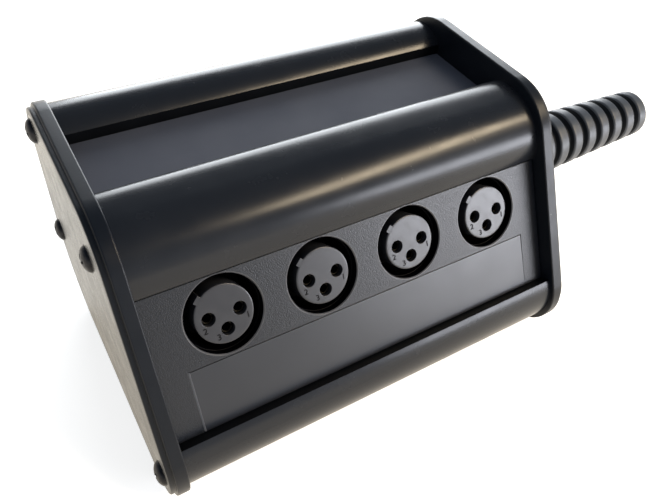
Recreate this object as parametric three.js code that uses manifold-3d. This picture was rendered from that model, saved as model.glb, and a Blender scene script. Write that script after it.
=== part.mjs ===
// Stage box with four panel sockets on a sloping face and a cable outlet on one end.
// Units are millimetres. X runs along the box, Y to the rear and Z up.
// The origin is the bottom centre of the whole object's bounding box.
import * as THREE from 'three';
import { mergeVertices } from 'three/addons/utils/BufferGeometryUtils.js';
import Module from 'manifold-3d';

const wasm = await Module();
wasm.setup();

// Housing, measured over the end plates
const box_depth = 97;
const box_height = 75.3;
const panel_angle = THREE.MathUtils.degToRad(60);
const front_top_radius = 19;
const rear_top_radius = 17.5;
const front_bottom_radius = 15;
const rear_bottom_radius = 25;

// End plates: a straight rim, then a small step to the outer face
const plate_rim_thickness = 3.5;
const plate_step_height = 1.4;
const plate_step_inset = 1;
const plate_edge_chamfer = 0.35;
const screw_seat_depth = 0.4;

// Panels: how far each outer face lies inside the end plates' outline
const panel_recess = 4.8;
const top_panel_recess = 10.4;
const panel_thickness = 2.5;
const tongue_length = 3.5;
const tongue_rebate = 1.2;

// Corner rails: extruded bars with a round skin, two panel slots and a screw port
const rail_skin = 2.2;
const rail_web = 1.6;
const front_top_rail_radius = 15;
const front_top_rail_inset = 3.5;
const front_top_rail_face_inset = 2.4;
const rear_top_rail_radius = 10.2;
const rear_top_rail_inset = 3.8;
const rear_top_rail_face_inset = 1;
const bottom_rail_inset = 1.5;
const flush_lip_rise = 0.3;
const front_bottom_lip_rise = 3.1;
const rear_top_lip_rise = 3;
const ledge_setback = 1;
const screw_port_radius = 1.9;
const screw_port_wall = 1.5;
const screw_port_slit = 1.2;

// Fits
const clearance = 0.3;
const screw_clearance = 0.25;
const contact_clearance = 0.25;

// Sockets: a shell behind the panel, a plug insert, three contacts and a latch
const socket_count = 4;
const socket_gap = 3.2;
const mouth_gap = 0.2;
const mouth_chamfer = 0.45;
const mouth_lip_gap = 0.7;
const socket_bore_radius = 10.2;
const shell_wall = 1.2;
const shell_flange_reach = 1;
const shell_flange_thickness = 2;
const shell_depth = 14.2;
const shell_floor = 1.5;
const insert_radius = 7.8;
const insert_face_depth = 0.2;
const insert_chamfer = 0.35;
const insert_flange_reach = 1.6;
const insert_flange_thickness = 1.2;
const contact_spacing = 8.35;
const lower_contact_drop = 4;
const contact_mouth_radius = 1.45;
const contact_mouth_depth = 1.2;
const contact_radius = 1.65;
const contact_bore_radius = 1.2;
const contact_bore_depth = 10;
const contact_slit = 0.4;
const contact_slit_length = 5;
const contact_tail_radius = 0.55;
const contact_tail_length = 2.2;
const key_angle = THREE.MathUtils.degToRad(135);
const key_reach = 1.5;
const key_width = 2.6;
const key_face_depth = 0.9;
const key_length = 11;

// Latch: a sprung tongue at the top of each socket, hinged at its rear end
const latch_width = 4;
const latch_thickness = 0.5;
const latch_front_depth = 4.2;
const latch_nose_reach = 0.65;
const latch_nose_length = 2.6;
const latch_pivot_radius = 0.55;
const latch_side_gap = 0.4;

// Panel face: the shallow label field
const label_depth = 0.35;
const label_end_margin = 7.35;
const label_mouth_gap = 0.25;

// Carrier board behind the sockets
const board_thickness = 1.6;
const board_end_reach = 1.5;
const board_gland_gap = 1.1;
const board_half_height = 12;
const boss_radius = 2.6;
const boss_rise = 8;
const board_screw_shank_radius = 1;
const board_screw_length = 8;
const board_screw_head_radius = 2.3;
const board_screw_head_height = 1.5;

// End plate screws
const plate_screw_shank_radius = 1.65;
const plate_screw_length = 12;
const plate_screw_head_radius = 3.4;
const plate_screw_head_height = 2.2;

// Cable outlet on the right end plate
const gland_thread_radius = 8;
const gland_bore_radius = 5.9;
const gland_inner_length = 5;
const gland_hex_wall = 2.9;
const gland_hex_thickness = 5;
const gland_nose_length = 12;
const gland_barb_rise = 0.35;
const lock_nut_wall = 1.75;
const lock_nut_thickness = 3.6;
const seal_length = 5;
const boot_wall = 2.7;
const boot_tip_wall = 2.85;
const boot_cable_radius = 5.6;
const boot_base_length = 6.1;
const boot_pitch = 7.2;
const boot_groove_count = 9;
const boot_groove_width = 2.7;
const boot_groove_depth = 1.7;
const boot_tip_length = 5.1;
const boot_tip_round = 0.9;

// Facets of a full circle
const rail_facets = 60;
const mouth_facets = 28;
const socket_facets = 24;
const contact_facets = 8;
const contact_hole_facets = 8;
const port_facets = 12;
const screw_facets = 10;
const board_screw_facets = 8;
const gland_facets = 24;
const boot_facets = 20;

// Facets of one corner of an end plate, and straight steps round the wedge that cuts a rail's skin
const corner_facets = 9;
const fan_steps = 6;

// Colours, roughness and metalness as photographed
const finishes = {
  rail: [0x17181b, 0.32, 0.6],
  panel: [0x1f2124, 0.7, 0],
  connector_panel: [0x26292d, 0.62, 0],
  end_plate: [0x14161a, 0.38, 0],
  shell: [0x0b0c0f, 0.3, 0],
  insert: [0x3b3d42, 0.5, 0],
  contact: [0x8d8a80, 0.35, 0.9],
  latch: [0x9a9ca0, 0.35, 0.9],
  board: [0x1d3a2a, 0.6, 0],
  screw: [0x222326, 0.4, 0.8],
  gland: [0x16171a, 0.5, 0],
  boot: [0x2a2d33, 0.6, 0],
};

// Vertices nearer than this are one vertex
const weld_distance = 1e-5;

// Lengths that follow from the sizes above
const front_y = -box_depth / 2;
const rear_y = box_depth / 2;
const flange_radius = socket_bore_radius + shell_wall + shell_flange_reach;
const shell_radius = socket_bore_radius + shell_wall;
const mouth_radius = socket_bore_radius + mouth_gap;
const socket_line_drop = mouth_radius + mouth_lip_gap;
const label_top_drop = mouth_radius + mouth_chamfer + label_mouth_gap;
const socket_pitch = 2 * flange_radius + socket_gap;
const end_margin = flange_radius + board_end_reach + board_gland_gap + gland_inner_length;
const box_length = (socket_count - 1) * socket_pitch + 2 * end_margin;
const end_x = box_length / 2;
const plate_thickness = plate_rim_thickness + plate_step_height;
const shell_front = -panel_thickness - clearance;
const shell_back = shell_front - shell_depth;
const insert_back = shell_back - clearance - insert_flange_thickness;
const board_front = insert_back - clearance;
const board_back = board_front - board_thickness;
const far = 2 * (box_depth + box_height);

// Plain vectors in the section plane, as [Y, Z]
const dot = (a, b) => a[0] * b[0] + a[1] * b[1];
const polar = (centre, radius, angle) => [
  centre[0] + radius * Math.cos(angle),
  centre[1] + radius * Math.sin(angle),
];

// Solids from geometries, and back

function outward(geometry) {
  const position = geometry.attributes.position;
  const index = geometry.index.array;
  const corner = [new THREE.Vector3(), new THREE.Vector3(), new THREE.Vector3()];
  let volume = 0;
  for (let i = 0; i < index.length; i += 3) {
    corner.forEach((point, k) => point.fromBufferAttribute(position, index[i + k]));
    volume += corner[0].dot(corner[1].clone().cross(corner[2]));
  }
  if (volume < 0) {
    for (let i = 0; i < index.length; i += 3) {
      [index[i + 1], index[i + 2]] = [index[i + 2], index[i + 1]];
    }
  }
  return geometry;
}

function solid(geometry) {
  const bare = geometry.clone();
  bare.deleteAttribute('normal');
  bare.deleteAttribute('uv');
  const welded = outward(mergeVertices(bare, weld_distance));
  return new wasm.Manifold(new wasm.Mesh({
    numProp: 3,
    vertProperties: new Float32Array(welded.attributes.position.array),
    triVerts: new Uint32Array(welded.index.array),
  }));
}

function geometry(body) {
  const mesh = body.getMesh();
  const result = new THREE.BufferGeometry();
  result.setAttribute('position', new THREE.BufferAttribute(mesh.vertProperties, 3));
  result.setIndex(new THREE.BufferAttribute(mesh.triVerts, 1));
  result.computeVertexNormals();
  return result;
}

// A round or many-sided outline, as points
function ring(centre, radius, facets, first = 0) {
  return Array.from({ length: facets }, (_, k) => polar(centre, radius, first + (2 * Math.PI * k) / facets));
}

// A section outline in [Y, Z], drawn out along X
const section_axes = new THREE.Matrix4().makeBasis(
  new THREE.Vector3(0, 1, 0),
  new THREE.Vector3(0, 0, 1),
  new THREE.Vector3(1, 0, 0),
);

function bar(points, x_start, x_end) {
  const shape = new THREE.Shape(points.map(([y, z]) => new THREE.Vector2(y, z)));
  const drawn = new THREE.ExtrudeGeometry(shape, { depth: x_end - x_start, bevelEnabled: false });
  drawn.applyMatrix4(section_axes);
  drawn.translate(x_start, 0, 0);
  return solid(drawn);
}

// An outline in a panel's own plane, drawn out along its outward normal
function slab(points, z_start, z_end) {
  const shape = new THREE.Shape(points.map(([x, y]) => new THREE.Vector2(x, y)));
  const drawn = new THREE.ExtrudeGeometry(shape, { depth: z_end - z_start, bevelEnabled: false });
  drawn.translate(0, 0, z_start);
  return solid(drawn);
}

function block(x, y, z) {
  const shape = new THREE.BoxGeometry(x[1] - x[0], y[1] - y[0], z[1] - z[0]);
  shape.translate((x[0] + x[1]) / 2, (y[0] + y[1]) / 2, (z[0] + z[1]) / 2);
  return solid(shape);
}

// A profile of [radius, height] turned about the local Z axis
function turned(profile, facets) {
  const points = profile.map(([radius, height]) => new THREE.Vector2(radius, height));
  const lathe = new THREE.LatheGeometry(points, facets);
  lathe.rotateX(Math.PI / 2);
  return solid(lathe);
}

function tube(outer, inner, z_start, z_end, facets) {
  const profile = [[inner, z_start], [outer, z_start], [outer, z_end], [inner, z_end], [inner, z_start]];
  return turned(profile, facets);
}

function rod(radius, z_start, z_end, facets) {
  return turned([[0, z_start], [radius, z_start], [radius, z_end], [0, z_end]], facets);
}

// Turned shapes laid along X, for what passes through an end plate
const along_x = new THREE.Matrix4().makeRotationY(Math.PI / 2);

function laid(body, x, y, z) {
  return body.transform(along_x.elements).translate([x, y, z]);
}

// Corner circles of the end plates, in order round the outline
const face_normal = [-Math.sin(panel_angle), Math.cos(panel_angle)];
const front_bottom_corner = [front_y + front_bottom_radius, front_bottom_radius];
const face_distance = dot(front_bottom_corner, face_normal) + front_bottom_radius;

// Centre of a round that lies a given way inside the top and the sloping face
function front_top_centre(radius, top_inset, face_inset) {
  const z = box_height - top_inset - radius;
  const reach = face_distance - face_inset - radius;
  return [(z * face_normal[1] - reach) / -face_normal[0], z];
}

const plate_corners = [
  { centre: front_bottom_corner, radius: front_bottom_radius },
  { centre: [rear_y - rear_bottom_radius, rear_bottom_radius], radius: rear_bottom_radius },
  { centre: [rear_y - rear_top_radius, box_height - rear_top_radius], radius: rear_top_radius },
  { centre: front_top_centre(front_top_radius, 0, 0), radius: front_top_radius },
];

// Angle of the outward normal on the straight edge from one corner to the next
function edge_normal(from, to) {
  const run = [to.centre[0] - from.centre[0], to.centre[1] - from.centre[1]];
  const lean = Math.acos((from.radius - to.radius) / Math.hypot(run[0], run[1]));
  return Math.atan2(run[1], run[0]) - lean;
}

function plate_outline(inset) {
  const count = plate_corners.length;
  return plate_corners.flatMap((corner, i) => {
    const previous = plate_corners[(i + count - 1) % count];
    const next = plate_corners[(i + 1) % count];
    const start = edge_normal(previous, corner);
    const turn = (edge_normal(corner, next) - start + 4 * Math.PI) % (2 * Math.PI);
    return Array.from({ length: corner_facets + 1 }, (_, k) =>
      polar(corner.centre, corner.radius - inset, start + (turn * k) / corner_facets));
  });
}

// Walls: d runs along a panel, m is its outward normal and offset its distance from the section origin
const walls = {
  connector: {
    d: [Math.cos(panel_angle), Math.sin(panel_angle)],
    m: face_normal,
    offset: face_distance - panel_recess,
  },
  top: { d: [1, 0], m: [0, 1], offset: box_height - top_panel_recess },
  rear: { d: [0, -1], m: [1, 0], offset: rear_y - panel_recess },
  base: { d: [-1, 0], m: [0, -1], offset: -panel_recess },
};

// Rails follow the walls clockwise. Shares place each screw port along its rail's radius.
const rails = {
  front_top: {
    centre: front_top_centre(front_top_rail_radius, front_top_rail_inset, front_top_rail_face_inset),
    radius: front_top_rail_radius,
    before: walls.connector,
    after: walls.top,
    rise_before: flush_lip_rise,
    rise_after: flush_lip_rise,
    port_angle: THREE.MathUtils.degToRad(60),
    port_share: 0.1,
  },
  rear_top: {
    centre: [
      rear_y - rear_top_rail_face_inset - rear_top_rail_radius,
      box_height - rear_top_rail_inset - rear_top_rail_radius,
    ],
    radius: rear_top_rail_radius,
    before: walls.top,
    after: walls.rear,
    rise_before: rear_top_lip_rise,
    rise_after: flush_lip_rise,
    port_angle: THREE.MathUtils.degToRad(55),
    port_share: 0.38,
  },
  rear_bottom: {
    centre: plate_corners[1].centre,
    radius: rear_bottom_radius - bottom_rail_inset,
    before: walls.rear,
    after: walls.base,
    rise_before: flush_lip_rise,
    rise_after: flush_lip_rise,
    port_angle: THREE.MathUtils.degToRad(4),
    port_share: 0.75,
  },
  front_bottom: {
    centre: front_bottom_corner,
    radius: front_bottom_radius - bottom_rail_inset,
    before: walls.base,
    after: walls.connector,
    rise_before: flush_lip_rise,
    rise_after: front_bottom_lip_rise,
    port_angle: THREE.MathUtils.degToRad(206),
    port_share: 0.6,
  },
};

const wall_point = (wall, s, n) => [
  wall.d[0] * s + wall.m[0] * (wall.offset + n),
  wall.d[1] * s + wall.m[1] * (wall.offset + n),
];

// Where a rail's round stands a given rise over a wall; side is -1 at the wall's end, 1 at its start
function lip(wall, rail, rise, side) {
  const depth = dot(rail.centre, wall.m) - wall.offset - rise;
  return dot(rail.centre, wall.d) + side * Math.sqrt(rail.radius ** 2 - depth ** 2);
}

function wall_block(wall, s, n, x_start, x_end) {
  const corners = [[s[0], n[0]], [s[1], n[0]], [s[1], n[1]], [s[0], n[1]]];
  return bar(corners.map((corner) => wall_point(wall, corner[0], corner[1])), x_start, x_end);
}

const port_centre = (rail) => polar(rail.centre, rail.port_share * rail.radius, rail.port_angle);

function rail_solid(rail) {
  const span = [-end_x, end_x];
  const slot_depth = tongue_length;
  const slot_floor = -panel_thickness - clearance;
  const slot_roof = clearance - tongue_rebate;
  const ends = [
    { wall: rail.before, rise: rail.rise_before, into: 1 },
    { wall: rail.after, rise: rail.rise_after, into: -1 },
  ].map((end) => ({ ...end, s: lip(end.wall, rail, end.rise, -end.into) }));

  // Round skin between the two lips, as a wedge of a ring
  const corners = ends.map((end) => wall_point(end.wall, end.s, end.rise));
  const angles = corners.map((p) => Math.atan2(p[1] - rail.centre[1], p[0] - rail.centre[0]));
  const sweep = (angles[0] - angles[1] + 4 * Math.PI) % (2 * Math.PI);
  const fan = Array.from({ length: fan_steps + 1 }, (_, k) =>
    polar(rail.centre, far, angles[0] - (sweep * k) / fan_steps));
  const inner = ring(rail.centre, rail.radius - rail_skin, rail_facets);
  let body = bar([rail.centre, ...fan], ...span).subtract(bar(inner, -far, far));

  // A lip over each panel's tongue and a ledge under it
  for (const { wall, s, into } of ends) {
    const back = s + into * (slot_depth + rail_web);
    const order = (a, b) => (a < b ? [a, b] : [b, a]);
    body = body.add(wall_block(wall, order(s, back), [slot_roof, rail.radius], ...span));
    const ledge = order(s + into * ledge_setback, back);
    body = body.add(wall_block(wall, ledge, [slot_floor - rail_web, slot_roof + clearance], ...span));
  }

  // Screw port on a web from the skin
  const port = port_centre(rail);
  const port_ring = ring(port, screw_port_radius + screw_port_wall, port_facets);
  const out = [Math.cos(rail.port_angle), Math.sin(rail.port_angle)];
  const web_wall = { d: [-out[1], out[0]], m: out, offset: 0 };
  const web_s = dot(port, web_wall.d);
  const web_n = dot(port, out);
  const web_reach = dot(rail.centre, out) + rail.radius;
  body = body
    .add(bar(port_ring, ...span))
    .add(wall_block(web_wall, [web_s - rail_web / 2, web_s + rail_web / 2], [web_n, web_reach], ...span))
    .intersect(bar(ring(rail.centre, rail.radius, rail_facets), ...span));

  for (const { wall, s, into } of ends) {
    const slot = [s - into * far, s + into * slot_depth].sort((a, b) => a - b);
    body = body.subtract(wall_block(wall, slot, [slot_floor, slot_roof], -far, far));
  }
  const slit = [web_s - screw_port_slit / 2, web_s + screw_port_slit / 2];
  const slit_reach = screw_port_radius + screw_port_wall + clearance;
  return body
    .subtract(bar(ring(port, screw_port_radius, port_facets), -far, far))
    .subtract(wall_block(web_wall, slit, [web_n - slit_reach, web_n], -far, far));
}

// Extent of a panel between its two rails, at full thickness
function panel_span(wall) {
  const first = Object.values(rails).find((rail) => rail.after === wall);
  const last = Object.values(rails).find((rail) => rail.before === wall);
  return [
    lip(wall, first, first.rise_after, 1) + clearance,
    lip(wall, last, last.rise_before, -1) - clearance,
  ];
}

function panel_solid(wall) {
  const [start, end] = panel_span(wall);
  const x_start = -end_x + clearance;
  const x_end = end_x - clearance;
  const tongues = [start - tongue_length, end + tongue_length];
  return wall_block(wall, [start, end], [-panel_thickness, 0], x_start, x_end)
    .add(wall_block(wall, tongues, [-panel_thickness, -tongue_rebate], x_start, x_end));
}

// End plates, turned outward by side: -1 left, 1 right

const gland_place = [0, box_height / 2];

function plate_solid(side) {
  const rim = plate_rim_thickness;
  const chamfer = plate_edge_chamfer;
  const layers = [
    [0, 0],
    [rim - chamfer, 0],
    [rim, chamfer],
    [rim, plate_step_inset],
    [plate_thickness - chamfer, plate_step_inset],
    [plate_thickness, plate_step_inset + chamfer],
  ];
  const rings = layers.map(([depth, inset]) =>
    plate_outline(inset).map(([y, z]) => [side * (end_x + depth), y, z]));
  const count = rings[0].length;
  const index = [];
  for (let layer = 0; layer + 1 < rings.length; layer += 1) {
    for (let k = 0; k < count; k += 1) {
      const a = layer * count + k;
      const b = layer * count + ((k + 1) % count);
      index.push(a, b, b + count, a, b + count, a + count);
    }
  }
  const outline = plate_outline(0).map(([y, z]) => new THREE.Vector2(y, z));
  const top = (rings.length - 1) * count;
  for (const [a, b, c] of THREE.ShapeUtils.triangulateShape(outline, [])) {
    index.push(a, c, b, top + a, top + b, top + c);
  }
  const shape = new THREE.BufferGeometry();
  shape.setAttribute('position', new THREE.Float32BufferAttribute(rings.flat(2), 3));
  shape.setIndex(index);
  let body = solid(shape);
  for (const rail of Object.values(rails)) {
    const [y, z] = port_centre(rail);
    const hole = rod(plate_screw_shank_radius + screw_clearance, -far, far, screw_facets);
    const seat_radius = plate_screw_head_radius + screw_clearance;
    const seat_face = end_x + plate_thickness - screw_seat_depth;
    const seat = rod(seat_radius, seat_face, far, port_facets);
    body = body.subtract(laid(hole, 0, y, z));
    body = body.subtract(laid(side < 0 ? seat.rotate([180, 0, 0]) : seat, 0, y, z));
  }
  if (side > 0) {
    const hole = rod(gland_thread_radius + clearance, -far, far, gland_facets);
    body = body.subtract(laid(hole, 0, ...gland_place));
  }
  return body;
}

// A pan-head screw along Z, head up, with a cross recess
function screw_solid(shank_radius, length, head_radius, head_height, facets) {
  const crown_share = 0.55;
  const shoulder_share = 0.85;
  const tip_share = 0.5;
  const recess_width_share = 0.12;
  const recess_floor_share = 0.35;
  const body = turned([
    [0, -length],
    [shank_radius * tip_share, -length],
    [shank_radius, -length + shank_radius],
    [shank_radius, 0],
    [head_radius, 0],
    [head_radius, head_height * crown_share],
    [head_radius * shoulder_share, head_height * shoulder_share],
    [head_radius * crown_share, head_height],
    [0, head_height],
  ], facets);
  const arm = head_radius * crown_share;
  const width = head_radius * recess_width_share;
  const floor = head_height * recess_floor_share;
  return body
    .subtract(block([-arm, arm], [-width, width], [floor, far]))
    .subtract(block([-width, width], [-arm, arm], [floor, far]));
}

// Sockets, in the connector panel's frame with the mouth at z = 0

const contact_places = [
  [contact_spacing / 2, 0],
  [-contact_spacing / 2, 0],
  [0, -lower_contact_drop],
];

const latch_pivot = [
  socket_bore_radius - latch_thickness / 2,
  shell_back + shell_floor + 2 * latch_pivot_radius,
];

function shell_solid() {
  const flat = shell_radius;
  const flange_back = shell_front - shell_flange_thickness;
  const floor_top = shell_back + shell_floor;
  const cup = turned([
    [insert_radius + clearance, shell_back],
    [shell_radius, shell_back],
    [shell_radius, flange_back],
    [flange_radius, flange_back],
    [flange_radius, shell_front],
    [socket_bore_radius, shell_front],
    [socket_bore_radius, floor_top],
    [insert_radius + clearance, floor_top],
    [insert_radius + clearance, shell_back],
  ], socket_facets);
  const half_window = latch_width / 2 + latch_side_gap;
  const window_low = latch_pivot[0] - latch_pivot_radius - clearance;
  const window_top = clearance - latch_front_depth;
  return cup
    .intersect(block([-flange_radius, flange_radius], [-flat, flat], [-far, far]))
    .subtract(block([-half_window, half_window], [window_low, far], [floor_top, window_top]));
}

function insert_solid() {
  const front = -insert_face_depth;
  let body = turned([
    [0, insert_back],
    [insert_radius + insert_flange_reach, insert_back],
    [insert_radius + insert_flange_reach, insert_back + insert_flange_thickness],
    [insert_radius, insert_back + insert_flange_thickness],
    [insert_radius, front - insert_chamfer],
    [insert_radius - insert_chamfer, front],
    [0, front],
  ], socket_facets);
  const key = block(
    [0, insert_radius + key_reach],
    [-key_width / 2, key_width / 2],
    [-key_face_depth - key_length, -key_face_depth],
  ).rotate([0, 0, THREE.MathUtils.radToDeg(key_angle)]);
  body = body.add(key);
  for (const [x, y] of contact_places) {
    const mouth = rod(contact_mouth_radius, -far, far, contact_hole_facets);
    const seat_top = front - contact_mouth_depth;
    const seat = rod(contact_radius + contact_clearance, -far, seat_top, contact_hole_facets);
    body = body.subtract(mouth.translate([x, y, 0])).subtract(seat.translate([x, y, 0]));
  }
  return body;
}

function contact_solid() {
  const front = -insert_face_depth - contact_mouth_depth - clearance;
  const bore_floor = front - contact_bore_depth;
  const body = turned([
    [0, board_back - contact_tail_length],
    [contact_tail_radius, board_back - contact_tail_length],
    [contact_tail_radius, insert_back],
    [contact_radius, insert_back],
    [contact_radius, front],
    [contact_bore_radius, front],
    [contact_bore_radius, bore_floor],
    [0, bore_floor],
  ], contact_facets);
  const slit = [-contact_slit / 2, contact_slit / 2];
  return body.subtract(block([-far, far], slit, [front - contact_slit_length, far]));
}

function latch_solid() {
  const [pivot_y, pivot_z] = latch_pivot;
  const inner = pivot_y - latch_thickness / 2;
  const outer = pivot_y + latch_thickness / 2;
  const front = -latch_front_depth;
  const nose_back = front - latch_nose_length;
  const peak_shares = [0.5, 0.65];
  const peak = inner - latch_nose_reach;
  const width = [-latch_width / 2, latch_width / 2];
  const leaf = bar([[inner, pivot_z], [outer, pivot_z], [outer, front], [inner, front]], ...width);
  const nose = bar([
    [outer, nose_back],
    [inner, nose_back],
    ...peak_shares.map((share) => [peak, nose_back + share * latch_nose_length]),
    [inner, front],
    [outer, front],
  ], ...width);
  const pin = ring([pivot_y, pivot_z], latch_pivot_radius, contact_facets);
  const pin_reach = latch_width / 2 + latch_side_gap / 2;
  return leaf.add(nose).add(bar(pin, -pin_reach, pin_reach));
}

// Connector panel: holes, label field, and bosses for the board

const connector_span = panel_span(walls.connector);
const socket_s = lip(walls.connector, rails.front_top, flush_lip_rise, -1) - socket_line_drop;
const socket_places = Array.from({ length: socket_count }, (_, k) =>
  (k - (socket_count - 1) / 2) * socket_pitch);
const boss_places = [-1, 1].flatMap((side) => [-1, 1].map((row) => [side * socket_pitch, row * boss_rise]));

function connector_panel_solid() {
  const half = end_x - clearance;
  const low = connector_span[0] - socket_s;
  const high = connector_span[1] - socket_s;
  const tongues = [low - tongue_length, high + tongue_length];
  let body = block([-half, half], [low, high], [-panel_thickness, 0])
    .add(block([-half, half], tongues, [-panel_thickness, -tongue_rebate]));
  const label_half = end_x - label_end_margin;
  body = body.subtract(block([-label_half, label_half], [low - far, -label_top_drop], [-label_depth, far])
    .intersect(block([-far, far], [low, high], [-label_depth, far])));
  const mouth = turned([
    [0, -far],
    [mouth_radius, -far],
    [mouth_radius, -mouth_chamfer],
    [mouth_radius + mouth_chamfer, 0],
    [mouth_radius + mouth_chamfer, far],
    [0, far],
  ], mouth_facets);
  for (const x of socket_places) {
    body = body.subtract(mouth.translate([x, 0, 0]));
  }
  for (const [x, y] of boss_places) {
    const boss = rod(boss_radius, board_front + clearance, -panel_thickness + tongue_rebate, screw_facets);
    const pilot_top = board_front + board_screw_length;
    const pilot = rod(board_screw_shank_radius + screw_clearance, -far, pilot_top, board_screw_facets);
    body = body.add(boss.translate([x, y, 0])).subtract(pilot.translate([x, y, 0]));
  }
  return body;
}

function board_solid() {
  const half = socket_places[socket_count - 1] + flange_radius + board_end_reach;
  let body = block([-half, half], [-board_half_height, board_half_height], [board_back, board_front]);
  for (const x of socket_places) {
    for (const [dx, dy] of contact_places) {
      const hole = rod(contact_tail_radius + clearance, -far, far, contact_facets);
      body = body.subtract(hole.translate([x + dx, dy, 0]));
    }
  }
  for (const [x, y] of boss_places) {
    const hole = rod(board_screw_shank_radius + screw_clearance, -far, far, board_screw_facets);
    body = body.subtract(hole.translate([x, y, 0]));
  }
  return body;
}

// Cable outlet, turned along X from the end plate's outer face

const plate_face = end_x + plate_thickness;
const hex_radius = (flat_radius) => flat_radius / Math.cos(Math.PI / 6);

function gland_body_solid() {
  const hex_top = gland_hex_thickness;
  const stem = turned([
    [gland_bore_radius, -plate_thickness - gland_inner_length],
    [gland_thread_radius, -plate_thickness - gland_inner_length],
    [gland_thread_radius, hex_top + gland_nose_length / 2],
    [gland_thread_radius + gland_barb_rise, hex_top + gland_nose_length / 2],
    [gland_thread_radius, hex_top + gland_nose_length],
    [gland_bore_radius, hex_top + gland_nose_length],
    [gland_bore_radius, -plate_thickness - gland_inner_length],
  ], gland_facets);
  const hex = slab(ring([0, 0], hex_radius(gland_thread_radius + gland_hex_wall), 6), 0, hex_top);
  const bore = rod(gland_bore_radius, -far, far, gland_facets);
  return laid(stem.add(hex).subtract(bore), plate_face, ...gland_place);
}

function lock_nut_solid() {
  const bore_radius = gland_thread_radius + clearance;
  const hex = slab(ring([0, 0], hex_radius(bore_radius + lock_nut_wall), 6), -lock_nut_thickness, 0);
  const bore = rod(bore_radius, -far, far, gland_facets);
  return laid(hex.subtract(bore), end_x, ...gland_place);
}

const boot_start = gland_hex_thickness + clearance;
const boot_length = boot_base_length + (boot_groove_count - 1) * boot_pitch + boot_tip_length;
const boot_end = boot_start + boot_length;
const boot_socket_radius = gland_thread_radius + gland_barb_rise + clearance;
const boot_base_radius = boot_socket_radius + boot_wall;
const boot_tip_radius = boot_cable_radius + boot_tip_wall;

// Seal: a soft ring round the cable, in the boot against the gland's nose
function seal_solid() {
  const start = boot_start + gland_nose_length;
  const outer = boot_socket_radius - clearance;
  const body = tube(outer, boot_cable_radius, start, start + seal_length, gland_facets);
  return laid(body, plate_face, ...gland_place);
}

// Boot: a taper with ring grooves, over the gland's nose, then close round the cable
function boot_solid() {
  const groove_floor_share = 0.5;
  const radius_at = (z) =>
    boot_base_radius + ((boot_tip_radius - boot_base_radius) * (z - boot_start)) / boot_length;
  const socket_end = boot_start + gland_nose_length + seal_length + clearance;
  const bore_start = socket_end + boot_socket_radius - boot_cable_radius;
  const profile = [
    [boot_socket_radius, boot_start],
    [boot_base_radius, boot_start],
  ];
  for (let k = 0; k < boot_groove_count; k += 1) {
    const middle = boot_start + boot_base_length + k * boot_pitch;
    const lip_low = middle - boot_groove_width / 2;
    const lip_high = middle + boot_groove_width / 2;
    const floor = radius_at(middle) - boot_groove_depth;
    const half_floor = boot_groove_width * groove_floor_share / 2;
    profile.push(
      [radius_at(lip_low), lip_low],
      [floor, middle - half_floor],
      [floor, middle + half_floor],
      [radius_at(lip_high), lip_high],
    );
  }
  profile.push(
    [boot_tip_radius, boot_end - boot_tip_round],
    [boot_tip_radius - boot_tip_round, boot_end],
    [boot_cable_radius, boot_end],
    [boot_cable_radius, bore_start],
    [boot_socket_radius, socket_end],
    [boot_socket_radius, boot_start],
  );
  return laid(turned(profile, boot_facets), plate_face, ...gland_place);
}

// Scene graph

const object = new THREE.Group();
object.position.x = -(plate_face + boot_end - (plate_face + plate_screw_head_height - screw_seat_depth)) / 2;

function add(parent, name, body, finish, place = [0, 0, 0]) {
  const [color, roughness, metalness] = finishes[finish];
  const material = new THREE.MeshStandardMaterial({ color, roughness, metalness });
  const mesh = new THREE.Mesh(geometry(body), material);
  mesh.name = name;
  mesh.position.set(...place);
  parent.add(mesh);
  return mesh;
}

for (const [name, rail] of Object.entries(rails)) {
  add(object, `rail_${name}`, rail_solid(rail), 'rail');
}
for (const name of ['top', 'rear', 'base']) {
  add(object, `${name}_panel`, panel_solid(walls[name]), 'panel');
}
add(object, 'left_end_plate', plate_solid(-1), 'end_plate');
add(object, 'right_end_plate', plate_solid(1), 'end_plate');

const plate_screw = screw_solid(
  plate_screw_shank_radius,
  plate_screw_length,
  plate_screw_head_radius,
  plate_screw_head_height,
  screw_facets,
);
for (const [name, rail] of Object.entries(rails)) {
  const [y, z] = port_centre(rail);
  const seat = plate_face - screw_seat_depth;
  add(object, `screw_left_${name}`, laid(plate_screw.rotate([180, 0, 0]), -seat, y, z), 'screw');
  add(object, `screw_right_${name}`, laid(plate_screw, seat, y, z), 'screw');
}

// Everything on the sloping panel sits in its own turned group
const face = new THREE.Group();
face.rotation.x = panel_angle;
face.position.set(0, ...wall_point(walls.connector, socket_s, 0));
object.add(face);

add(face, 'connector_panel', connector_panel_solid(), 'connector_panel');
add(face, 'carrier_board', board_solid(), 'board');
boss_places.forEach(([x, y], k) => {
  const board_screw = screw_solid(
    board_screw_shank_radius,
    board_screw_length - clearance + board_thickness,
    board_screw_head_radius,
    board_screw_head_height,
    board_screw_facets,
  );
  add(face, `board_screw_${k + 1}`, board_screw.rotate([180, 0, 0]), 'screw', [x, y, board_back - clearance]);
});
socket_places.forEach((x, k) => {
  const socket = new THREE.Group();
  socket.position.x = x;
  face.add(socket);
  add(socket, `socket_shell_${k + 1}`, shell_solid(), 'shell');
  add(socket, `socket_insert_${k + 1}`, insert_solid(), 'insert');
  contact_places.forEach(([dx, dy], pin) => {
    add(socket, `contact_${k + 1}_${pin + 1}`, contact_solid(), 'contact', [dx, dy, 0]);
  });
  add(socket, `latch_${k + 1}`, latch_solid(), 'latch');
});

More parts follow.
